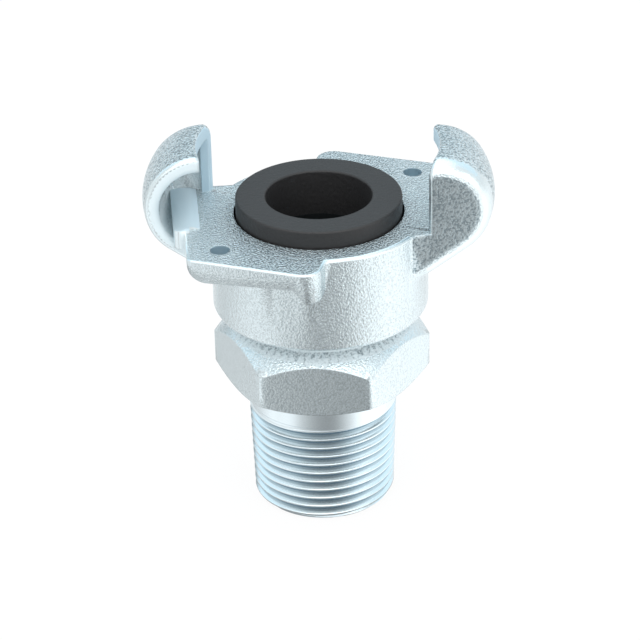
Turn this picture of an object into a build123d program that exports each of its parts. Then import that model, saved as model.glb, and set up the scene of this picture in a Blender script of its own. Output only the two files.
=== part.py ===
from build123d import *
import math
import os

# Two-claw hose coupling with a tapered male pipe thread, and the rubber seal in its face.
# The origin is the centre of the threaded end, +Z runs up the bore to the claws, and the
# claws stand at -X and +X. The casting looks the same after half a turn about Z.
# All sizes are in millimetres and degrees.

# Bore and thread
bore_radius = 9.4
thread_start_radius = 12.95
thread_taper = 1 / 16
thread_pitch = 1.814
thread_depth = 1.16
thread_turns = 11
thread_crest = 0.3
end_land = 0.3
collar_height = 4.9

# Wrench hexagon
hexagon_flats = 34.2
hexagon_height = 9.7
hexagon_turn = -8.8
hexagon_corner_round = 0.8
hexagon_lower_slope = 30.0
hexagon_upper_slope = 42.0
neck_radius = 14.9
neck_height = 4.4

# Hub that carries the ears and claws
hub_radius = 19.4
hub_height = 18.15
hub_lower_round = 1.2
hub_upper_round = 0.7

# Seal and its seat
seal_radius = 14.8
seal_bore_clearance = 0.05
seal_bore_radius = bore_radius + seal_bore_clearance
seal_proud = 3.15
seal_edge_round = 0.35
seat_clearance = 0.35
seat_depth = 3.0
groove_depth = 1.5
groove_height = 2.4
lip_clearance = 0.2

# Ears with their pin holes
ear_overhang = 4.8
ear_tip_overhang = 6.0
ear_side = hub_radius + ear_overhang
ear_corner_y = 16.1
ear_tip_x = 2.55
ear_tip_y = hub_radius + ear_tip_overhang
ear_root_x = 0.4
ear_corner_round = 1.3
ear_tip_round = 3.2
ear_thick = 4.2
ear_thin = 3.05
ear_lower_round = 3.0
ear_edge_round = 0.45
lug_depth = 5.6
lug_end = 4.4
lug_ramp = 2.4
pin_overhang = 3.1
pin_circle_radius = hub_radius + pin_overhang
pin_angle = 35.65
pin_hole_radius = 1.72

# Claws
claw_gap = 1.9
claw_bore_radius = hub_radius + claw_gap
claw_curve = 9.75
claw_curve_height = 3.85
claw_slope = 36.3
pocket_curve = 7.2
pocket_curve_height = 3.3
claw_open_side = 4.7
claw_closed_side = 12.0
end_wall = 1.0
post_inset = 1.0
post_side = claw_bore_radius - post_inset
post_thick = 2.2
claw_closed_round = 3.4
claw_open_round = 1.0
pocket_round = 1.8
claw_mouth_round = 1.4
post_edge_round = 0.75
pad_reach = 4.7
pad_side = claw_bore_radius + pad_reach
pad_rise = 0.5
pad_width = 3.4
pad_slope_width = 1.3
pad_end_side = 6.2
pad_end_depth = 3.0
pad_end_round = 1.3

# Heights of the main faces above the threaded end
thread_length = end_land + thread_turns * thread_pitch
hexagon_bottom = thread_length + collar_height
hexagon_top = hexagon_bottom + hexagon_height
hub_bottom = hexagon_top + neck_height
face_height = hub_bottom + hub_height

# How far joined solids reach into each other, and a length beyond every claw
overlap = 1.0
far = claw_bore_radius + claw_curve + overlap


def turned(points):
    """Solid of revolution about Z from an outline of radius and height pairs."""
    outline = Polyline([(r, 0, z) for r, z in points], close=True)
    return revolve(make_face(outline), Axis.Z)


def block(x, y, z):
    """Box between the given low and high values along X, Y and Z."""
    size = [high - low for low, high in (x, y, z)]
    middle = [(high + low) / 2 for low, high in (x, y, z)]
    return Pos(*middle) * Box(*size)


def both_sides(shape):
    """The shape and its copy after half a turn about Z."""
    return [shape, Rot(0, 0, 180) * shape]


def radius_of_thread(height):
    """Crest radius of the tapered thread at a height above its end."""
    return thread_start_radius + height * thread_taper / 2


def shank_outline():
    """Outline of the shank: a ridge for each turn of thread, then the plain collar."""
    flank = thread_pitch / 2 - thread_crest
    points = [(0, 0), (radius_of_thread(0) - thread_depth, 0)]
    for turn in range(1, thread_turns):
        low = end_land + turn * thread_pitch - thread_crest / 2
        high = low + thread_crest
        points.append((radius_of_thread(low) - thread_depth, low - flank))
        points.append((radius_of_thread(low), low))
        points.append((radius_of_thread(high), high))
        points.append((radius_of_thread(high) - thread_depth, high + flank))
    points.append((radius_of_thread(thread_length), thread_length))
    points.append((radius_of_thread(thread_length), hexagon_bottom + overlap))
    points.append((0, hexagon_bottom + overlap))
    return points


def hexagon():
    """Wrench hexagon whose corners are cut by a cone above and a cone below."""
    middle_radius = hexagon_flats / 2
    corner_radius = middle_radius / math.cos(math.pi / 6)
    outline = RegularPolygon(corner_radius, 6, rotation=hexagon_turn)
    outline = fillet(outline.vertices(), hexagon_corner_round)
    prism = Pos(0, 0, hexagon_bottom) * extrude(outline, hub_bottom - hexagon_bottom)
    beyond = corner_radius + overlap - middle_radius
    lower = math.tan(math.radians(hexagon_lower_slope))
    upper = math.tan(math.radians(hexagon_upper_slope))
    return prism & turned([
        (0, hexagon_bottom),
        (middle_radius, hexagon_bottom),
        (middle_radius + beyond, hexagon_bottom + beyond * lower),
        (middle_radius + beyond, hexagon_top - beyond * upper),
        (0, hexagon_top + middle_radius * upper),
    ])


def hub():
    """Round hub with its neck, rounded at its lower and upper rims."""
    outline = Polyline(
        (0, 0, hexagon_bottom + overlap),
        (neck_radius, 0, hexagon_bottom + overlap),
        (neck_radius, 0, hub_bottom),
        (hub_radius, 0, hub_bottom),
        (hub_radius, 0, face_height),
        (0, 0, face_height),
        close=True,
    )
    solid = revolve(make_face(outline), Axis.Z)
    rims = solid.edges().filter_by(GeomType.CIRCLE)
    rims = rims.filter_by(lambda edge: abs(edge.radius - hub_radius) < 0.01).sort_by(Axis.Z)
    solid = fillet(rims.first, hub_lower_round)
    rims = solid.edges().filter_by(GeomType.CIRCLE)
    rims = rims.filter_by(lambda edge: abs(edge.radius - hub_radius) < 0.01).sort_by(Axis.Z)
    return fillet(rims.last, hub_upper_round)


def ear():
    """Front left ear: its plan outline crossed with its side outline, which ends in a lug."""
    plan = make_face(Polyline(
        (-ear_side, 0),
        (-ear_side, -ear_corner_y),
        (-ear_tip_x, -ear_tip_y),
        (-ear_root_x, -hub_radius + overlap),
        (-ear_root_x, 0),
        close=True,
    ))
    corners = plan.vertices().sort_by(Axis.Y)
    plan = fillet(corners[0], ear_tip_round)
    corners = plan.vertices().sort_by(Axis.X)
    side_corners = [v for v in corners if abs(v.Y + ear_corner_y) < 0.01]
    plan = fillet(side_corners, ear_corner_round)
    plate = Pos(0, 0, face_height - lug_depth) * extrude(plan, lug_depth)
    low = face_height - lug_depth
    side = make_face(Polyline(
        (-ear_side, 0, face_height),
        (-ear_side, 0, face_height - ear_thick),
        (-lug_end - lug_ramp, 0, face_height - ear_thin),
        (-lug_end, 0, low),
        (0, 0, low),
        (0, 0, face_height),
        close=True,
    ))
    under = [v for v in side.vertices() if v.X < -ear_side + 0.01 and v.Z < face_height - 0.01]
    side = fillet(under, ear_lower_round)
    depth = ear_tip_y + overlap
    shape = plate & extrude(side, depth, both=True)
    top_edges = shape.faces().sort_by(Axis.Z).last.edges()
    outer = []
    for edge in top_edges:
        middle = edge @ 0.5
        if middle.Y < -ear_corner_y / 2 or middle.X < -ear_side + 0.01:
            outer.append(edge)
    return fillet(outer, ear_edge_round)


def edges_at_side(shape, side):
    """Edges of a claw that lie wholly in the plane at the given Y."""
    found = []
    for edge in shape.edges():
        if all(abs((edge @ along).Y - side) < 0.02 for along in (0, 0.5, 1)):
            found.append(edge)
    return found


def reach(edge):
    """Distance of an edge's middle from the Z axis."""
    middle = edge @ 0.5
    return math.hypot(middle.X, middle.Y)


def claw_block():
    """Left claw before its pocket is cut: a stretch of a turned ring with rounded ends."""
    slope = math.radians(claw_slope)
    centre = face_height + claw_curve_height
    foot_radius = claw_bore_radius + claw_curve * math.sin(slope)
    foot_height = centre - claw_curve * math.cos(slope)
    inside = hub_radius - overlap
    middle = claw_bore_radius + claw_curve * math.cos(slope)
    back = ThreePointArc(
        (claw_bore_radius, 0, centre + claw_curve),
        (middle, 0, centre + claw_curve * math.sin(slope)),
        (foot_radius, 0, foot_height),
    )
    rest = Polyline(
        (foot_radius, 0, foot_height),
        (inside, 0, foot_height - (foot_radius - inside) * math.tan(slope)),
        (inside, 0, face_height),
        (claw_bore_radius, 0, face_height),
        (claw_bore_radius, 0, centre + claw_curve),
    )
    ring = revolve(make_face([back, rest]), Axis.Z)
    stretch = block((-far, 0), (-claw_open_side, claw_closed_side), (0, face_height + far))
    solid = ring & stretch
    for side, radius in ((claw_closed_side, claw_closed_round), (-claw_open_side, claw_open_round)):
        back_edges = [e for e in edges_at_side(solid, side) if reach(e) > claw_bore_radius + 0.1]
        solid = fillet(back_edges, radius)
    post_edges = []
    for edge in edges_at_side(solid, claw_closed_side):
        above = (edge @ 0.5).Z > face_height + overlap
        if above and abs(reach(edge) - claw_bore_radius) < 0.02:
            post_edges.append(edge)
    return fillet(post_edges, post_edge_round)


def pocket():
    """Hollow of the left claw, open at one end and closed by the end wall and its post."""
    centre = face_height + pocket_curve_height
    curve = pocket_curve
    inside = claw_bore_radius - overlap
    outline = make_face([
        Polyline(
            (claw_bore_radius, 0, centre - curve),
            (inside, 0, centre - curve),
            (inside, 0, centre + curve),
            (claw_bore_radius, 0, centre + curve),
        ),
        ThreePointArc(
            (claw_bore_radius, 0, centre + curve),
            (claw_bore_radius + curve, 0, centre),
            (claw_bore_radius, 0, centre - curve),
        ),
    ])
    wall_side = claw_closed_side - end_wall
    stretch = block((-far, 0), (-claw_open_side - overlap, wall_side), (0, face_height + far))
    hollow = revolve(outline, Axis.Z) & stretch
    wall_edges = [e for e in edges_at_side(hollow, wall_side) if e.geom_type != GeomType.LINE]
    hollow = fillet(wall_edges, pocket_round)
    hollow += block((-far, 0), (-far, -claw_open_side), (0, face_height + far))
    mouth = [e for e in edges_at_side(hollow, -claw_open_side) if e.geom_type != GeomType.LINE]
    hollow = fillet(mouth, claw_mouth_round)
    hollow -= block((-pad_side, 0), (-far, far), (0, face_height))
    pad = make_face(Polyline(
        (-pad_side, 0, face_height - overlap),
        (-pad_side, 0, face_height + pad_rise),
        (-pad_side + pad_width, 0, face_height + pad_rise),
        (-pad_side + pad_width + pad_slope_width, 0, face_height),
        (-pad_side + pad_width + pad_slope_width, 0, face_height - overlap),
        close=True,
    ))
    hollow -= extrude(pad, far, both=True)
    return hollow - block((-post_side, 0), (claw_closed_side - post_thick, far), (0, face_height + far))


def pad_end():
    """Rounded end of the left pad, a little outside the claw's open side."""
    end = block(
        (-pad_side, -ear_side + overlap),
        (-pad_end_side, -claw_open_side + overlap),
        (face_height - pad_end_depth, face_height + pad_rise),
    )
    corners = end.edges().filter_by(Axis.Z).sort_by(Axis.Y)
    outer = [edge for edge in corners[:2] if edge.center().X < -pad_side + 0.01]
    return fillet(outer, pad_end_round)


def claw():
    """Left claw: a hooked shell with a closed end, a post at its inner edge and a raised pad."""
    return claw_block() - pocket() + pad_end()


def seat():
    """Room for the seal: a round recess in the face with a wider groove at its bottom."""
    recess_radius = seal_radius + seat_clearance
    groove_top = face_height - seat_depth
    groove_bottom = groove_top - groove_height
    return turned([
        (0, -overlap),
        (bore_radius, -overlap),
        (bore_radius, groove_bottom),
        (recess_radius + groove_depth, groove_bottom),
        (recess_radius + groove_depth, groove_top),
        (recess_radius, groove_top),
        (recess_radius, face_height + overlap),
        (0, face_height + overlap),
    ])


def pin_hole():
    """Hole through the front left ear for the safety pin."""
    angle = math.radians(180 + pin_angle)
    place = Pos(pin_circle_radius * math.cos(angle), pin_circle_radius * math.sin(angle), face_height)
    return place * Cylinder(pin_hole_radius, 2 * ear_thick + overlap)


def coupling_body():
    """The whole casting in one piece."""
    solid = turned(shank_outline()) + hexagon() + hub()
    for side in both_sides(ear()) + both_sides(claw()):
        solid += side
    for hole in [seat()] + both_sides(pin_hole()):
        solid -= hole
    return solid


def seal_ring():
    """Rubber seal: it stands proud of the face and its lip sits in the groove."""
    bottom = face_height - seat_depth - groove_height
    lip_radius = seal_radius + seat_clearance + groove_depth - lip_clearance
    lip_top = face_height - seat_depth - lip_clearance
    top = face_height + seal_proud
    solid = turned([
        (seal_bore_radius, bottom),
        (lip_radius, bottom),
        (lip_radius, lip_top),
        (seal_radius, lip_top),
        (seal_radius, top),
        (seal_bore_radius, top),
    ])
    rims = [e for e in solid.edges() if abs((e @ 0.5).Z - top) < 0.01 and e.geom_type == GeomType.CIRCLE]
    return fillet(rims, seal_edge_round)


os.makedirs("parts", exist_ok=True)
export_step(coupling_body(), "parts/coupling_body.step")
export_step(seal_ring(), "parts/seal_ring.step")
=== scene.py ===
import math
import bpy
import bmesh
import numpy as np
from mathutils import Matrix, Vector


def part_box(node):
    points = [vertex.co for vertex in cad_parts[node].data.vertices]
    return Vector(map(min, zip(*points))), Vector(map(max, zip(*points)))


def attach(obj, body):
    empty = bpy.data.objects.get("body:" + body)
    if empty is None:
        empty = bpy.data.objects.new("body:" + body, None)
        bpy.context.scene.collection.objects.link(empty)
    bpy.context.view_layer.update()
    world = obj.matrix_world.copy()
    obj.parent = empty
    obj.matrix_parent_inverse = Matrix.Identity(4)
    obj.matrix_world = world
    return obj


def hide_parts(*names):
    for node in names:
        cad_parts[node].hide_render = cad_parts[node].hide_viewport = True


# A two-claw hose coupling: a zinc-plated iron casting with a cut pipe thread, and a black rubber seal.
# The frame gives the sizes in metres. The settings below are in millimetres and degrees.
# Z runs up the bore, the claws stand at -X and +X, and the casting repeats after half a turn about Z.

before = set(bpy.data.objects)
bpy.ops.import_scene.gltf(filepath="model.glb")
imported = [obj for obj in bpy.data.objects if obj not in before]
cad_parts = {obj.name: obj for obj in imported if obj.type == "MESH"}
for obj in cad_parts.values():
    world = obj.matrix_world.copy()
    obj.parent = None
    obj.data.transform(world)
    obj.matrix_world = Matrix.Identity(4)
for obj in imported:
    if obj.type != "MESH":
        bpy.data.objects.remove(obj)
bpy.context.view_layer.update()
mm = 0.001


# Nodes and meshes

def linearColour(hexColour):  # sRGB hex to linear: c/12.92 below 0.04045, else ((c + 0.055)/1.055)^2.4
    parts = [int(hexColour[i:i + 2], 16) / 255 for i in (1, 3, 5)]
    return tuple(c / 12.92 if c <= 0.04045 else ((c + 0.055) / 1.055) ** 2.4 for c in parts) + (1.0,)


def addNode(tree, kind, settings=None, inputs=None, links=None):  # one node; links: socket -> (node, output)
    node = tree.nodes.new(kind)
    for name, value in (settings or {}).items():
        setattr(node, name, value)
    for name, value in (inputs or {}).items():
        node.inputs[name].default_value = value
    for name, (source, output) in (links or {}).items():
        tree.links.new(source.outputs[output], node.inputs[name])
    return node


def newMaterial(name):  # an empty material and its node tree
    material = bpy.data.materials.new(name)
    material.use_nodes = True
    material.node_tree.nodes.clear()
    return material, material.node_tree


def meshPiece(name, points, quads):  # points: (n, 3) metres, quads: (m, 4) vertex numbers
    mesh = bpy.data.meshes.new(name)
    mesh.from_pydata(points.tolist(), [], quads.tolist())
    mesh.validate()
    piece = bpy.data.objects.new(name, mesh)
    bpy.context.scene.collection.objects.link(piece)
    return piece


def gridQuads(rows, columns, wrapRows=False, wrapColumns=False):  # faces of a grid, open or closed each way
    row, column = np.meshgrid(np.arange(rows if wrapRows else rows - 1),
                              np.arange(columns if wrapColumns else columns - 1), indexing="ij")
    nextRow, nextColumn = (row + 1) % rows, (column + 1) % columns
    corners = [row * columns + column, row * columns + nextColumn,
               nextRow * columns + nextColumn, nextRow * columns + column]
    return np.stack(corners, axis=-1).reshape(-1, 4)


def faceFigures(mesh):  # each face's centre in millimetres and its normal, as x, y, z, nx, ny, nz
    figures = []
    for name, unit in (("center", mm), ("normal", 1)):
        values = np.empty(len(mesh.polygons) * 3)
        mesh.polygons.foreach_get(name, values)
        figures += list(values.reshape(-1, 3).T / unit)
    return figures


def addShares(mesh, domain, shares):  # one attribute for each name, with a number for every face or point
    for name, values in shares.items():
        mesh.attributes.new(name, "FLOAT", domain).data.foreach_set("value", values.astype(np.float32))


def smoothShade(piece, sharpAngle):  # smooth shading that breaks at edges sharper than the angle
    mesh = piece.data
    mesh.polygons.foreach_set("use_smooth", np.ones(len(mesh.polygons), bool))
    mesh.set_sharp_from_angle(angle=math.radians(sharpAngle))
    weighted = piece.modifiers.new("evenNormals", "WEIGHTED_NORMAL")
    weighted.keep_sharp = True


# The casting: hub, ears, claws and hexagon

casting = {
    "cutHeight": 24.6,       # the turned shank is a piece of its own below this
    "cutNear": 0.0001,
    "weld": 0.0005,          # corners of triangles that lie nearer than this are one
    "boreRadius": 9.6,
    "seatRadius": 16.8,
    "seatTop": 0.5,          # the seat is dark iron this far below the face, partly painted shade
    "rimDepth": 0.9,         # of the rounded edge of the face
    "pinCircle": 22.5,
    "pinAngle": 215.65,
    "pinRadius": 1.72,
    "hexagonTop": 36.0,
    "neckFrom": 35.2,
    "neckTo": 39.6,
    "neckOuter": 17.5,
    "clawBoreRadius": 21.3,
    "clawFoot": 1.0,         # the claws' own skin starts this far above the face
    "hookFoot": 0.2,         # and the milled one of their inner faces here
    "mouthSide": 4.7,        # from the middle to the claws' open ends
    "mouthRound": 1.6,
    "closedSide": 12.0,      # and to their closed ends
    "closedRound": 3.5,
    "endFrom": 16.0,         # radius where the flat closed ends leave the hub
    "endWall": 1.0,
    "postThick": 2.2,
    "postReach": 2.0,
    "pocketRadius": 7.2,
    "pocketCentre": 3.3,     # above the face
    "pocketDepth": 5.0,
    "padRise": 0.5,
    "padInnerX": 21.0,
    "near": {                # how near its surface a triangle's centre lies, more where the surface is round
        "edge": 0.005, "face": 0.02, "pin": 0.05, "pad": 0.05, "end": 0.1, "post": 0.1, "wall": 0.2,
        "hook": 0.25, "pocket": 0.3, "pocketEnd": (-2.2, 0.2),
    },
    "facing": {              # how much of its normal points one way: 1 is straight there, 0 is across
        "straight": 0.9, "up": 0.6, "wall": 0.5, "sideways": 0.7, "rim": (0.1, 0.99), "mouth": 0.12,
        "closedRound": (0.25, 0.93), "pocket": 0.8, "pocketEnd": 0.1, "bead": -0.35,
    },
    "shares": {              # what each part of the skin gets; a later part goes over those before it
        "grain": {"sides": 0.4, "tops": 1, "ends": 0.18, "hexagon": 0.25, "rims": 0.08, "hollows": 0.8,
                  "machined": 0},
        # painted shade: the share of dark pits on each part, heaviest on the claws' tops and closed ends
        "pitShadeShare": {"sides": 0.22, "tops": 0.75, "clawTops": 2.1, "ends": 1.2, "hexagon": 0.25, "rims": 0,
                   "machined": 0},  # above 1 where the painted lightening towards the claws takes part of it off again
        # painted reflection: the share of pale blue on the hooks, pads and pin holes
        "reflectedBlue": {"hooks": 1, "pads": 0.5, "pins": 1},
        "satin": {"hooks": 1, "pads": 1, "hollows": 1, "necks": 1, "beads": 1, "pins": 0.6},
        "shade": {"pins": 0.45, "ends": 0.3},
    },
    "sharpAngle": 24,
}


def castingSkin(settings):  # the solid's triangles merged, all below the cut taken off, the cut closed
    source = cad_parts["coupling_body"]
    skin = bmesh.new()
    skin.from_mesh(source.data)
    bmesh.ops.remove_doubles(skin, verts=skin.verts, dist=settings["weld"] * mm)
    everything = skin.verts[:] + skin.edges[:] + skin.faces[:]
    bmesh.ops.bisect_plane(skin, geom=everything, dist=settings["cutNear"] * mm,
                           plane_co=(0, 0, settings["cutHeight"] * mm), plane_no=(0, 0, 1), clear_inner=True)
    openEdges = [edge for edge in skin.edges if edge.is_boundary]
    bmesh.ops.bridge_loops(skin, edges=openEdges)
    bmesh.ops.recalc_face_normals(skin, faces=skin.faces)
    mesh = bpy.data.meshes.new("casting")
    skin.to_mesh(mesh)
    skin.free()
    mesh.materials.clear()
    piece = bpy.data.objects.new("casting", mesh)
    bpy.context.scene.collection.objects.link(piece)
    return piece


def hubAreas(figures, settings):  # the hub's parts: between named radii and heights, with a normal that fits
    x, y, z, nx, ny, nz, radius, above, inward = figures
    look, near = settings["facing"], settings["near"]
    pinX = settings["pinCircle"] * math.cos(math.radians(settings["pinAngle"]))
    pinY = settings["pinCircle"] * math.sin(math.radians(settings["pinAngle"]))
    fromPin = np.minimum(np.hypot(x - pinX, y - pinY), np.hypot(x + pinX, y + pinY))
    rimFrom, rimTo = look["rim"]
    inside = (radius < settings["seatRadius"]) & (above < -near["face"]) & (inward > -look["wall"])
    bored = (radius < settings["boreRadius"]) & (inward > look["wall"])
    return {
        "sides": radius > 0,  # every face; the other parts go over it
        "hexagon": z < settings["hexagonTop"],
        "necks": (z > settings["neckFrom"]) & (z < settings["neckTo"]) & (radius < settings["neckOuter"]),
        "edges": (above > -settings["rimDepth"]) & (above < -near["edge"]) & (nz > rimFrom) & (nz < rimTo),
        "pins": (fromPin < settings["pinRadius"] + near["pin"]) & (abs(nz) < look["wall"]),
        "inside": inside,
        "bored": bored | inside & (above < -settings["seatTop"]),
    }


def clawAreas(figures, settings):  # the claws' parts: near named surfaces, with a normal that fits
    x, y, z, nx, ny, nz, radius, above, inward = figures
    look, near = settings["facing"], settings["near"]
    onClaw = radius > settings["clawBoreRadius"]
    facing = ny * np.sign(x)  # towards each claw's open side
    fromMouth = settings["mouthSide"] - y * np.sign(x)
    fromEnd = settings["closedSide"] + y * np.sign(x)
    tops = (nz > look["up"]) | (above > settings["clawFoot"]) & onClaw & (abs(ny) < look["sideways"])
    ends = (facing < -look["straight"]) & (radius > settings["endFrom"]) & (abs(fromEnd) < near["end"])
    mouths = (abs(fromMouth) < settings["mouthRound"]) & (facing > look["mouth"]) & onClaw
    roundFrom, roundTo = look["closedRound"]
    rounds = (fromEnd < settings["closedRound"]) & (facing < -roundFrom) & (facing > -roundTo) & onClaw

    toPocket = np.stack([settings["clawBoreRadius"] - radius, settings["pocketCentre"] - above])
    fromPocket = np.hypot(*toPocket)
    intoPocket = (-inward * toPocket[0] + nz * toPocket[1]) / fromPocket
    beyond = fromPocket - settings["pocketRadius"]
    leastBeyond, mostBeyond = near["pocketEnd"]
    hollows = (beyond > leastBeyond) & (beyond < mostBeyond) & (facing > look["pocketEnd"])
    hollows = (hollows | (abs(beyond) < near["pocket"])) & (intoPocket > look["pocket"])
    hollows |= (abs(fromEnd - settings["endWall"]) < near["wall"]) & (facing > look["straight"])
    hooks = (inward > look["straight"]) & (abs(radius - settings["clawBoreRadius"]) < near["hook"])
    posts = (facing > look["straight"]) & (abs(fromEnd - settings["postThick"]) < near["post"])
    posts &= radius < settings["clawBoreRadius"] + settings["postReach"]
    pads = (above > near["face"]) & (above < settings["padRise"] + near["pad"]) & (nz > look["up"])
    return {
        "tops": tops,
        "clawTops": tops & (above > settings["clawFoot"]),
        "ends": ends,
        "clawRims": mouths | rounds,
        "beads": mouths & (intoPocket > look["bead"]),
        "hollows": hollows & onClaw & (above > -settings["pocketDepth"]),
        "hooks": (hooks | posts) & (above > settings["hookFoot"]),
        "pads": pads & (abs(x) > settings["padInnerX"]),
    }


def markSkin(piece, settings, faceHeight):  # each face's shares are those of the last named part it lies in
    mesh = piece.data
    x, y, z, nx, ny, nz = faceFigures(mesh)
    radius = np.hypot(x, y)
    figures = x, y, z, nx, ny, nz, radius, z - faceHeight, -(nx * x + ny * y) / radius
    areas = {**hubAreas(figures, settings), **clawAreas(figures, settings)}
    areas["rims"] = areas["edges"] | areas["clawRims"]
    areas["machined"] = areas["hooks"] | areas["pads"] | areas["pins"] | areas["inside"]
    for name, shares in settings["shares"].items():
        values = np.zeros(len(x))
        for area, share in shares.items():
            values[areas[area]] = share
        addShares(mesh, "FACE", {name: values})
    mesh.polygons.foreach_set("material_index", areas["bored"].astype(np.int32))
    counts = {name: int(areas[name].sum()) for name in ("hooks", "pads", "hollows", "bored", "sides")}
    print("faces of the skin", counts)


# The shank: collar, tapered thread, end face and bore

shank = {
    "startRadius": 12.95,
    "endRadius": 12.0,
    "pitch": 1.814,
    "depth": 1.12,
    "taper": 1 / 16,
    "threadTop": 20.254,
    "fadeTurns": 0.8,
    "crestShare": 0.065,     # half a crest, and half a root, in pitches
    "boreRadius": 9.4,
    "boreChamfer": 0.5,
    "columns": 180,          # round one turn
    "samples": (0, 0.045, 0.075, 0.11, 0.25, 0.39, 0.425, 0.455),  # along half a pitch, from the crest
    "spareTurns": 3,         # of the strip: before the end, past the top, and its own width
    "weld": 0.001,           # corners that lie nearer than this are one
    "shadeFrom": 0.55,       # painted shade: share of the thread's depth below which the roots are painted darker
    "sharpAngle": 62,
}


def threadRadius(height, angle, settings):  # crest(z) - depth * fade * V(turns), at most the end chamfer
    crest = settings["startRadius"] + np.minimum(height, settings["threadTop"]) * settings["taper"] / 2
    turns = height / settings["pitch"] - angle / (2 * np.pi)
    fromCrest = abs(turns - np.round(turns))
    wave = np.clip((fromCrest - settings["crestShare"]) / (0.5 - 2 * settings["crestShare"]), 0, 1)
    fade = np.clip((settings["threadTop"] - height) / (settings["fadeTurns"] * settings["pitch"]), 0, 1)
    return np.minimum(crest - settings["depth"] * fade * wave, settings["endRadius"] + height)


def threadStrip(settings, top):  # one pitch wide, wound up the helix, so each crest is one unbroken line
    columns, half = settings["columns"], np.array(settings["samples"])
    across = np.concatenate([half, 1 - np.append(half[1:], 0.5)[::-1]])
    samples = len(across)
    steps = (int(top / settings["pitch"]) + settings["spareTurns"]) * columns
    step, share = np.meshgrid(np.arange(steps), across, indexing="ij")
    angle = 2 * np.pi * step / columns
    height = np.clip((step / columns + share - 1) * settings["pitch"], 0, top)
    radius = threadRadius(height, angle, settings)
    points = np.stack([radius * np.cos(angle), radius * np.sin(angle), height], axis=-1).reshape(-1, 3)
    first = np.arange(steps - columns - 1)[:, None] * samples + np.arange(samples)[None, :]
    above = np.where(np.arange(samples) == samples - 1, (columns - 1) * samples + 1, 1)[None, :]
    quads = np.stack([first, first + samples, first + samples + above, first + above], axis=-1)
    return points, quads.reshape(-1, 4)


def shankLining(settings, top):  # rings about Z: end rim, chamfer and wall of the bore, top rim
    columns, bore, chamfer = settings["columns"], settings["boreRadius"], settings["boreChamfer"]
    angle = 2 * np.pi * np.arange(columns)[None, :] / columns
    liner = np.array([(bore + chamfer, 0), (bore, chamfer), (bore, top / 2), (bore, top)])
    lowRim, highRim = threadRadius(0 * angle, angle, settings), threadRadius(0 * angle + top, angle, settings)
    radius = np.vstack([lowRim, liner[:, :1] + 0 * angle, highRim])
    height = np.vstack([0 * angle, liner[:, 1:] + 0 * angle, top + 0 * angle])
    points = np.stack([radius * np.cos(angle), radius * np.sin(angle), height], axis=-1).reshape(-1, 3)
    return points, gridQuads(len(radius), columns, wrapColumns=True)


def shankSurface(settings, top):  # the thread's strip and the lining, welded into one closed surface
    thread, strip = threadStrip(settings, top)
    inner, lining = shankLining(settings, top)
    points = np.vstack([thread, inner]) * mm
    piece = meshPiece("threaded_shank", points, np.vstack([strip, lining + len(thread)]))
    joined = bmesh.new()
    joined.from_mesh(piece.data)
    bmesh.ops.remove_doubles(joined, verts=joined.verts, dist=settings["weld"] * mm)
    bmesh.ops.dissolve_degenerate(joined, dist=settings["weld"] * mm, edges=joined.edges)
    bmesh.ops.delete(joined, geom=[vert for vert in joined.verts if not vert.link_faces], context="VERTS")
    bmesh.ops.recalc_face_normals(joined, faces=joined.faces)
    print("shank open edges", sum(edge.is_boundary for edge in joined.edges), "faces", len(joined.faces))
    joined.to_mesh(piece.data)
    joined.free()
    return piece


def markShank(piece, settings):  # shade = (depth - from) / (1 - from): 1 at the bottom of the groove
    x, y, z = faceFigures(piece.data)[:3]
    radius = np.hypot(x, y)
    crest = settings["startRadius"] + z * settings["taper"] / 2
    depth = (crest - radius) / settings["depth"]
    shade = np.clip((depth - settings["shadeFrom"]) / (1 - settings["shadeFrom"]), 0, 1)
    shade[(z > settings["threadTop"]) | (z < settings["pitch"] / 2)] = 0
    addShares(piece.data, "FACE", {"shade": shade})
    bore = radius < settings["boreRadius"] + settings["boreChamfer"]
    piece.data.polygons.foreach_set("material_index", bore.astype(np.int32))


# The seal: a moulded ring whose lip sits in the groove

seal = {
    "outerRadius": 14.8,
    "boreRadius": 9.45,
    "lipRadius": 16.45,
    "lipHeight": 2.2,
    "seatDepth": 5.4,        # from the coupling's face to the seal's foot
    "edgeRound": 0.4,
    "edgeSteps": 5,
    "columns": 240,
    "sharpAngle": 35,
}


def sealSurface(settings):  # profile (r, z) turned about Z; each upper rim is a quarter circle
    low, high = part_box("seal_ring")
    bottom, top = low.z / mm, high.z / mm
    outer, bore, rim = settings["outerRadius"], settings["boreRadius"], settings["edgeRound"]
    sweep = np.linspace(0, math.pi / 2, settings["edgeSteps"])
    outerRim = np.stack([outer - rim + rim * np.cos(sweep), top - rim + rim * np.sin(sweep)], axis=1)
    boreRim = np.stack([bore + rim - rim * np.sin(sweep), top - rim + rim * np.cos(sweep)], axis=1)
    lip, lipTop = settings["lipRadius"], bottom + settings["lipHeight"]
    foot = [(bore, bottom), (lip, bottom), (lip, lipTop), (outer, lipTop), (outer, (lipTop + top) / 2)]
    middle = [((outer + bore) / 2, top)]
    profile = np.vstack([foot, outerRim, middle, boreRim, [(bore, (lipTop + top) / 2)]])
    angle = np.linspace(0, 2 * np.pi, settings["columns"], endpoint=False)[None, :]
    radius, height = profile[:, :1], profile[:, 1:] + 0 * angle
    points = np.stack([radius * np.cos(angle), radius * np.sin(angle), height], axis=-1) * mm
    quads = gridQuads(len(profile), settings["columns"], wrapRows=True, wrapColumns=True)
    return meshPiece("seal", points.reshape(-1, 3), quads)


# Materials

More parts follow.
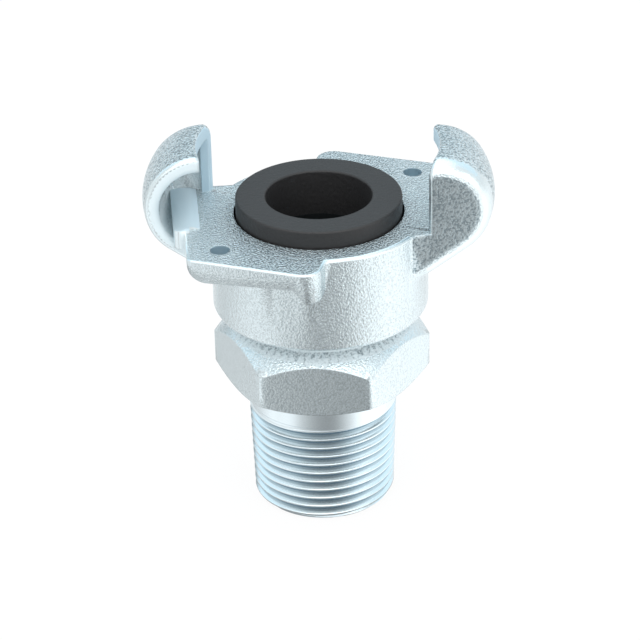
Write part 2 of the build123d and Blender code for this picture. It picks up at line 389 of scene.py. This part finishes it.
zincLook = {
    "colour": "#d9e5e9",
    "reflectedBlueColour": "#b9d3e0",    # painted reflection of the pale blue light from above, on the hooks' inner faces, the pads and the pin holes
    "pitShadeColour": "#748890",     # painted shade: the bottoms of the pits between the pebbles, also the pin holes and closed ends
    "pitRange": (0.53, 0.39),   # the pebbles' height, 0 to 1, where the painted pit shade starts and where it is darkest
    # how far at most the colour goes towards the painted pit shade
    "pitShadeStrength": 0.9,
    "sideLightenRange": (13.0, 17.0),  # painted light: out along X the painted pit shade falls to the share below, so the faces towards the claws come out lighter
    "sideLightenShare": 0.4,
    "threadColour": "#dfebf0",
    # painted shade in the roots of the thread
    "rootShadeColour": "#6f8999",
    "metallic": 0.97,           # the rest is a slightly milky film on the zinc
    "satinMetallic": 0.25,      # thicker on faces that no tool or tumbling has polished
    "roughness": 0.25,
    "satinRoughness": 0.5,
    "threadRoughness": 0.26,
    "grain": 0.38,              # pebbles of the moulding sand, drawn a little coarser so that they show
    "grainHeight": 0.5,
    "grainDetail": 2.0,
    "grainFineness": 0.6,       # share of the next finer layer of the pebbles
    "swell": 4.0,               # slow waves of the mould's face
    "swellHeight": 0.12,
    "swellDetail": 1.0,
    "edgeRound": 0.35,          # edges of a casting are never quite sharp
    "edgeSamples": 6,
}

# dark iron of the bore, partly painted shade in the hole
boreIronAndShadeLook = {
    "colour": "#3c4143",
    "roughness": 0.6,
}

rubberLook = {
    "colour": "#262627",
    "roughness": 0.55,
    "mottle": 0.7,           # faint cloudiness of the moulded face
    "mottleHeight": 0.12,
    "mottleDetail": 3.0,
}


def pebbledSkin(tree, settings, place, pebbles):  # bump of pebbles and waves, times grain, over rounded edges
    share = addNode(tree, "ShaderNodeAttribute", {"attribute_name": "grain"})
    swell = addNode(tree, "ShaderNodeTexNoise", {}, {"Scale": 1 / (settings["swell"] * mm), "Detail":
                    settings["swellDetail"]}, {"Vector": (place, "Object")})
    waves = addNode(tree, "ShaderNodeMath", {"operation": "MULTIPLY"}, {1: settings["swellHeight"]},
                    {0: (swell, "Fac")})
    height = addNode(tree, "ShaderNodeMath", {"operation": "MULTIPLY_ADD"}, {1: settings["grainHeight"]},
                     {0: (pebbles, "Fac"), 2: (waves, "Value")})
    skinHeight = addNode(tree, "ShaderNodeMath", {"operation": "MULTIPLY"}, {},
                         {0: (height, "Value"), 1: (share, "Fac")})
    rounded = addNode(tree, "ShaderNodeBevel", {"samples": settings["edgeSamples"]},
                      {"Radius": settings["edgeRound"] * mm})
    return addNode(tree, "ShaderNodeBump", {}, {"Strength": 1.0, "Distance": mm},
                   {"Height": (skinHeight, "Value"), "Normal": (rounded, "Normal")})


def pitShadeMix(tree, settings, place, pebbles):  # painted shade: low spots of the pebbles times the lightening towards the claws times the pit shade share of each face, plus shade
    pitFrom, pitTo = settings["pitRange"]
    pits = addNode(tree, "ShaderNodeMapRange", {}, {"From Min": pitFrom, "From Max": pitTo, "To Max":
                   settings["pitShadeStrength"]}, {"Value": (pebbles, "Fac")})
    axes = addNode(tree, "ShaderNodeSeparateXYZ", {}, {}, {"Vector": (place, "Object")})
    reach = addNode(tree, "ShaderNodeMath", {"operation": "ABSOLUTE"}, {}, {0: (axes, "X")})
    lightenFrom, lightenTo = settings["sideLightenRange"]
    sideLighten = addNode(tree, "ShaderNodeMapRange", {}, {"From Min": lightenFrom * mm, "From Max": lightenTo * mm,
                   "To Min": 1.0, "To Max": settings["sideLightenShare"]}, {"Value": (reach, "Value")})
    patches = addNode(tree, "ShaderNodeMath", {"operation": "MULTIPLY"}, {},
                      {0: (pits, "Result"), 1: (sideLighten, "Result")})
    pitShadeShare = addNode(tree, "ShaderNodeAttribute", {"attribute_name": "pitShadeShare"})
    shade = addNode(tree, "ShaderNodeAttribute", {"attribute_name": "shade"})
    return addNode(tree, "ShaderNodeMath", {"operation": "MULTIPLY_ADD"}, {},
                   {0: (patches, "Value"), 1: (pitShadeShare, "Fac"), 2: (shade, "Fac")})


def castZinc(settings):  # iron cast in sand, bright zinc plated: pebbled skin with a pale blue metal gloss, painted shade in its pits, pin holes and closed ends, and a painted pale blue reflection on the hooks, pads and pin holes
    material, tree = newMaterial("castZinc")
    place = addNode(tree, "ShaderNodeTexCoord")
    pebbles = addNode(tree, "ShaderNodeTexNoise", {}, {"Scale": 1 / (settings["grain"] * mm), "Detail":
                      settings["grainDetail"], "Roughness": settings["grainFineness"]},
                      {"Vector": (place, "Object")})
    bump = pebbledSkin(tree, settings, place, pebbles)
    depth = pitShadeMix(tree, settings, place, pebbles)
    reflectedBlue = addNode(tree, "ShaderNodeAttribute", {"attribute_name": "reflectedBlue"})
    baseAndBlue = addNode(tree, "ShaderNodeMix", {"data_type": "RGBA"}, {6: linearColour(settings["colour"]),
                    7: linearColour(settings["reflectedBlueColour"])}, {0: (reflectedBlue, "Fac")})
    # painted shade: the colour goes towards the pit shade colour by the share above
    colour = addNode(tree, "ShaderNodeMix", {"data_type": "RGBA"}, {7: linearColour(settings["pitShadeColour"])},
                     {0: (depth, "Value"), 6: (baseAndBlue, 2)})
    satin = addNode(tree, "ShaderNodeAttribute", {"attribute_name": "satin"})
    gloss = addNode(tree, "ShaderNodeMapRange", {}, {"To Min": settings["roughness"], "To Max":
                    settings["satinRoughness"]}, {"Value": (satin, "Fac")})
    film = addNode(tree, "ShaderNodeMapRange", {}, {"To Min": settings["metallic"], "To Max":
                   settings["satinMetallic"]}, {"Value": (satin, "Fac")})
    metal = addNode(tree, "ShaderNodeBsdfPrincipled", {}, {}, {"Base Color": (colour, 2), "Metallic":
                    (film, "Result"), "Roughness": (gloss, "Result"), "Normal": (bump, "Normal")})
    addNode(tree, "ShaderNodeOutputMaterial", {}, {}, {"Surface": (metal, "BSDF")})
    return material


def boreIronAndShade(settings):  # the bore, where hardly any plating gets: dull dark iron, partly painted shade that keeps the hole black
    material, tree = newMaterial("boreIronAndShade")
    metal = addNode(tree, "ShaderNodeBsdfPrincipled", {}, {"Base Color": linearColour(settings["colour"]),
                    "Metallic": 1.0, "Roughness": settings["roughness"]})
    addNode(tree, "ShaderNodeOutputMaterial", {}, {}, {"Surface": (metal, "BSDF")})
    return material


def turnedZinc(settings):  # the same plating over a turned thread: smooth, clear lines of light, and painted shade darkening the roots
    material, tree = newMaterial("turnedZinc")
    shade = addNode(tree, "ShaderNodeAttribute", {"attribute_name": "shade"})
    colour = addNode(tree, "ShaderNodeMix", {"data_type": "RGBA"}, {6: linearColour(settings["threadColour"]),
                     7: linearColour(settings["rootShadeColour"])}, {0: (shade, "Fac")})
    metal = addNode(tree, "ShaderNodeBsdfPrincipled", {}, {"Metallic": 1.0, "Roughness":
                    settings["threadRoughness"]}, {"Base Color": (colour, 2)})
    addNode(tree, "ShaderNodeOutputMaterial", {}, {}, {"Surface": (metal, "BSDF")})
    return material


def nitrileRubber(settings):  # moulded rubber: matt, near black, faintly mottled where it faces the light
    material, tree = newMaterial("nitrileRubber")
    place = addNode(tree, "ShaderNodeTexCoord")
    mottle = addNode(tree, "ShaderNodeTexNoise", {}, {"Scale": 1 / (settings["mottle"] * mm), "Detail":
                     settings["mottleDetail"]}, {"Vector": (place, "Object")})
    bump = addNode(tree, "ShaderNodeBump", {}, {"Strength": 1.0, "Distance": settings["mottleHeight"] * mm},
                   {"Height": (mottle, "Fac")})
    rubber = addNode(tree, "ShaderNodeBsdfPrincipled", {}, {"Base Color": linearColour(settings["colour"]),
                     "Roughness": settings["roughness"]}, {"Normal": (bump, "Normal")})
    addNode(tree, "ShaderNodeOutputMaterial", {}, {}, {"Surface": (rubber, "BSDF")})
    return material


# The studio

studio = {
    "floorSize": 6000,
    "floorColour": "#fafafa",
    "floorWhite": 0.93,      # share of plain white that the camera sees in the floor
    "floorShine": 0.85,      # and the share that reflections see
    "surroundings": 1.0,
    "cameraPlace": (-31.19, -393.18, 256.04),
    "cameraBack": (-0.06845, -0.86972, 0.48877),
    "cameraRoll": 1.26,
    "cameraRange": (10, 100000),
    "lens": 140.05,
    "sensor": 36,
    "turn": -4.5,            # azimuth 0 of the fans, cards and lamps, at the camera
    "floorFans": {           # light on the floor by azimuth, dimmest in front of the object
        "floorFan": {"radii": (14, 1500), "height": 0.1,
                     "azimuth": (-135, -105, -90, -75, -60, -45, -30, -18, -6, 4, 14, 22, 34, 46, 60, 75,
                                 105, 135),
                     "strength": (0.75, 0.8, 1.0, 1.2, 1.12, 0.92, 0.72, 0.51, 0.39, 0.34, 0.38, 0.53, 0.85,
                                  1.25, 1.5, 1.55, 1.25, 1.1)},
        "leftFan": {"radii": (30, 64), "height": 0.15, "azimuth": (-66, -56, -42, -30),
                    "strength": (1.05, 1.2, 1.15, 0.7)},
    },
    "fanSteps": 91,
    "footShade": {"radius": 17, "height": 0.2, "steps": 64, "strength": 0.35},  # the object's own shadow
    "cards": {
        "cameraSide": {"azimuth": (-38, 38), "elevation": (2, 16), "colour": "#f6f8fa", "strength": 0.65},
        "cameraAbove": {"azimuth": (-48, 48), "elevation": (17, 41), "colour": "#ffffff", "strength": 1.6},
        "ceiling": {"azimuth": (60, 300), "elevation": (57, 90), "colour": "#eef5f9", "strength": 1.7},
        "ceilingFront": {"azimuth": (-60, 60), "elevation": (76, 90), "colour": "#ffffff", "strength": 2.0},
        "keyPanel": {"azimuth": (-48, 48), "elevation": (42, 76), "colour": "#ffffff", "strength": 2.4},
        "backdrop": {"azimuth": (95, 265), "elevation": (20, 57), "colour": "#d8eaf3", "strength": 1.36},
        "lowBackdrop": {"azimuth": (165, 225), "elevation": (2, 19), "colour": "#e4eaec", "strength": 0.3},
    },
    "cardDistance": 1200,
    "cardSteps": (7, 13),    # up and round
    "lamps": {
        "fillSoftbox": {"azimuth": 55, "elevation": 18, "size": (500, 400), "radiance": 1.2,
                        "colour": "#ffffff"},
    },
    "lampDistance": 900,
    "aim": (0, 0, 40),
}


def addCamera(settings):  # right = up x back, both turned by the roll
    back = Vector(settings["cameraBack"]).normalized()
    right = Vector((0, 0, 1)).cross(back).normalized()
    up = back.cross(right)
    roll = math.radians(settings["cameraRoll"])
    rolledRight = right * math.cos(roll) - up * math.sin(roll)
    rolledUp = right * math.sin(roll) + up * math.cos(roll)
    data = bpy.data.cameras.new("camera")
    data.lens, data.sensor_width = settings["lens"], settings["sensor"]
    data.clip_start, data.clip_end = (reach * mm for reach in settings["cameraRange"])
    camera = bpy.data.objects.new("camera", data)
    bpy.context.scene.collection.objects.link(camera)
    turn = Matrix((rolledRight, rolledUp, back)).transposed().to_4x4()
    camera.matrix_world = Matrix.Translation(Vector(settings["cameraPlace"]) * mm) @ turn
    bpy.context.scene.camera = camera


def towards(azimuth, elevation):  # direction from the object; azimuth 0 is the camera's side, 90 the right
    around = np.radians(azimuth + studio["turn"])
    above = np.radians(elevation)
    return np.sin(around) * np.cos(above), -np.cos(around) * np.cos(above), np.sin(above)


def addLamp(name, settings):  # a soft area lamp; its power is radiance * pi * area
    data = bpy.data.lights.new(name, "AREA")
    data.shape = "RECTANGLE"
    data.size, data.size_y = settings["size"][0] * mm, settings["size"][1] * mm
    data.energy = settings["radiance"] * math.pi * data.size * data.size_y
    data.color = linearColour(settings["colour"])[:3]
    lamp = bpy.data.objects.new(name, data)
    bpy.context.scene.collection.objects.link(lamp)
    outward = Vector(towards(settings["azimuth"], settings["elevation"]))
    lamp.location = (Vector(studio["aim"]) + outward * studio["lampDistance"]) * mm
    lamp.rotation_euler = outward.to_track_quat("Z", "Y").to_euler()


def glowing(name, colour, strength, attribute=None):  # plain light; an attribute gives the strength by place
    material, tree = newMaterial(name)
    glow = addNode(tree, "ShaderNodeEmission", {}, {"Color": linearColour(colour), "Strength": strength})
    if attribute:
        share = addNode(tree, "ShaderNodeAttribute", {"attribute_name": attribute})
        tree.links.new(share.outputs["Fac"], glow.inputs["Strength"])
    addNode(tree, "ShaderNodeOutputMaterial", {}, {}, {"Surface": (glow, "Emission")})
    return material


def addCard(name, settings):  # part of a sphere round the object that the camera doesn't see
    rows, columns = studio["cardSteps"]
    azimuth = np.linspace(*settings["azimuth"], columns)[None, :] + np.zeros((rows, 1))
    elevation = np.linspace(*settings["elevation"], rows)[:, None] + np.zeros((1, columns))
    points = np.stack(towards(azimuth, elevation), axis=-1).reshape(-1, 3) * studio["cardDistance"] * mm
    card = meshPiece(name, points, gridQuads(rows, columns))
    card.data.materials.append(glowing(name, settings["colour"], settings["strength"]))
    card.visible_camera = False


def addFloorFan(name, settings):  # light on the floor that the metal alone sees, blended over the azimuth
    azimuth = np.linspace(settings["azimuth"][0], settings["azimuth"][-1], studio["fanSteps"])
    strength = np.interp(azimuth, settings["azimuth"], settings["strength"])
    x, y, level = towards(azimuth[:, None], 0)
    radii = np.array(settings["radii"])[None, :]
    points = np.stack([x * radii, y * radii, level + settings["height"] + 0 * x * radii], axis=-1)
    fan = meshPiece(name, points.reshape(-1, 3) * mm, gridQuads(len(azimuth), 2))
    addShares(fan.data, "POINT", {"strength": np.repeat(strength, 2)})
    fan.data.materials.append(glowing(name, "#ffffff", 1.0, "strength"))
    fan.visible_camera = fan.visible_diffuse = fan.visible_shadow = False


def addFootShade(settings):  # a dim disc round the foot, seen by the metal alone
    angle = np.linspace(0, 2 * np.pi, settings["steps"], endpoint=False)
    ring = settings["radius"] * np.stack([np.cos(angle), np.sin(angle)], axis=-1)
    points = np.column_stack([ring, np.full(len(angle), settings["height"])]) * mm
    shade = meshPiece("footShade", points, np.arange(len(angle))[None, :])
    shade.data.materials.append(glowing("footShade", "#ffffff", settings["strength"]))
    shade.visible_camera = shade.visible_diffuse = shade.visible_shadow = False


def paperFloor(settings):  # white paper: matt for the object's light, evenly bright to camera and reflections
    material, tree = newMaterial("paperFloor")
    path = addNode(tree, "ShaderNodeLightPath")
    mirrored = addNode(tree, "ShaderNodeMath", {"operation": "MAXIMUM"}, {},
                       {0: (path, "Is Glossy Ray"), 1: (path, "Is Transmission Ray")})
    shine = addNode(tree, "ShaderNodeMath", {"operation": "MULTIPLY"}, {1: settings["floorShine"]},
                    {0: (mirrored, "Value")})
    share = addNode(tree, "ShaderNodeMath", {"operation": "MULTIPLY_ADD"}, {1: settings["floorWhite"]},
                    {0: (path, "Is Camera Ray"), 2: (shine, "Value")})
    paper = addNode(tree, "ShaderNodeBsdfDiffuse", {}, {"Color": linearColour(settings["floorColour"])})
    glow = addNode(tree, "ShaderNodeEmission", {}, {"Color": (1, 1, 1, 1), "Strength": 1.0})
    both = addNode(tree, "ShaderNodeMixShader", {}, {}, {"Fac": (share, "Value"), 1: (paper, "BSDF"),
                   2: (glow, "Emission")})
    addNode(tree, "ShaderNodeOutputMaterial", {}, {}, {"Surface": (both, "Shader")})
    return material


def addStage(settings):  # white floor and white surroundings
    half = settings["floorSize"] / 2 * mm
    corners = np.array([(-half, -half, 0), (half, -half, 0), (half, half, 0), (-half, half, 0)])
    floor = meshPiece("floor", corners, np.array([[0, 1, 2, 3]]))
    floor.data.materials.append(paperFloor(settings))
    world = bpy.data.worlds.new("studio")
    bpy.context.scene.world = world
    world.use_nodes = True
    tree = world.node_tree
    tree.nodes.clear()
    light = addNode(tree, "ShaderNodeBackground", {}, {"Color": (1, 1, 1, 1), "Strength":
                    settings["surroundings"]})
    addNode(tree, "ShaderNodeOutputWorld", {}, {}, {"Surface": (light, "Background")})


# The whole scene

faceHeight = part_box("seal_ring")[0].z / mm + seal["seatDepth"]
bodyMesh = castingSkin(casting)
markSkin(bodyMesh, casting, faceHeight)
smoothShade(bodyMesh, casting["sharpAngle"])
boreSkin = boreIronAndShade(boreIronAndShadeLook)
for material in (castZinc(zincLook), boreSkin):
    bodyMesh.data.materials.append(material)
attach(bodyMesh, "root")
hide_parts("coupling_body")
print("casting made")

shankPiece = shankSurface(shank, casting["cutHeight"])
markShank(shankPiece, shank)
smoothShade(shankPiece, shank["sharpAngle"])
for material in (turnedZinc(zincLook), boreSkin):
    shankPiece.data.materials.append(material)
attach(shankPiece, "root")
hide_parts("coupling_body")
print("shank made")

sealPiece = sealSurface(seal)
smoothShade(sealPiece, seal["sharpAngle"])
sealPiece.data.materials.append(nitrileRubber(rubberLook))
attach(sealPiece, "root")
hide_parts("seal_ring")
print("seal made")

addCamera(studio)
addStage(studio)
for name, settings in studio["floorFans"].items():
    addFloorFan(name, settings)
addFootShade(studio["footShade"])
for name, settings in studio["cards"].items():
    addCard(name, settings)
for name, settings in studio["lamps"].items():
    addLamp(name, settings)
bpy.context.scene.view_settings.view_transform = "Standard"
print("studio made")
